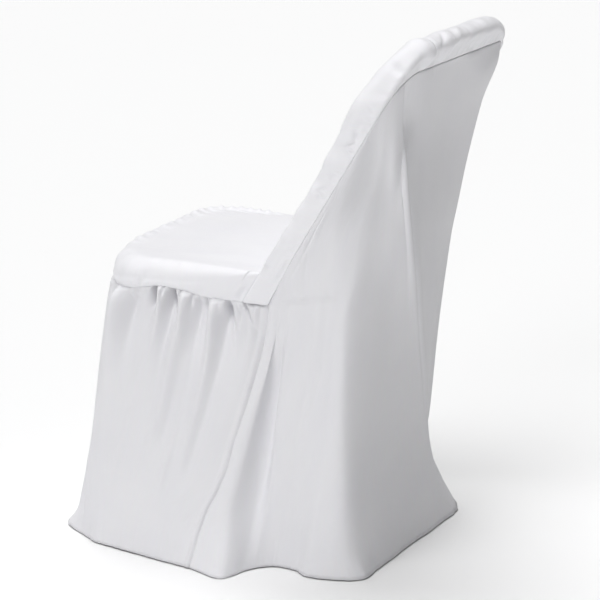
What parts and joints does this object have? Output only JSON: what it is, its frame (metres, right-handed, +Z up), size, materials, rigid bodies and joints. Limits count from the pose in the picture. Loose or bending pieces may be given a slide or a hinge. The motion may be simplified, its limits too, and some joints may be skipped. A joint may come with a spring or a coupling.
{
  "type": "fitted folding chair cover",
  "caption": "Fitted cloth cover for a folding chair: tight backrest and seat, gathered skirt to the floor and a loosely draped back, all sewn in one.",
  "frame": {"origin": "middle of the inner underside of the cover's top roll, where the top of the chair's back carries it; the floor that the hem reaches is 0.830 m below", "axes": "+Z up, +Y to the rear, the way that the backrest leans, and +X to the sitter's left"},
  "size_m": [0.5643, 0.6246, 0.8344],
  "materials": {
    "polyester": "matt woven white polyester"
  },
  "bodies": {
    "root": {"back_panel": "polyester", "inside_back": "polyester", "seat_panel": "polyester", "skirt": "polyester"}
  },
  "joints": []
}
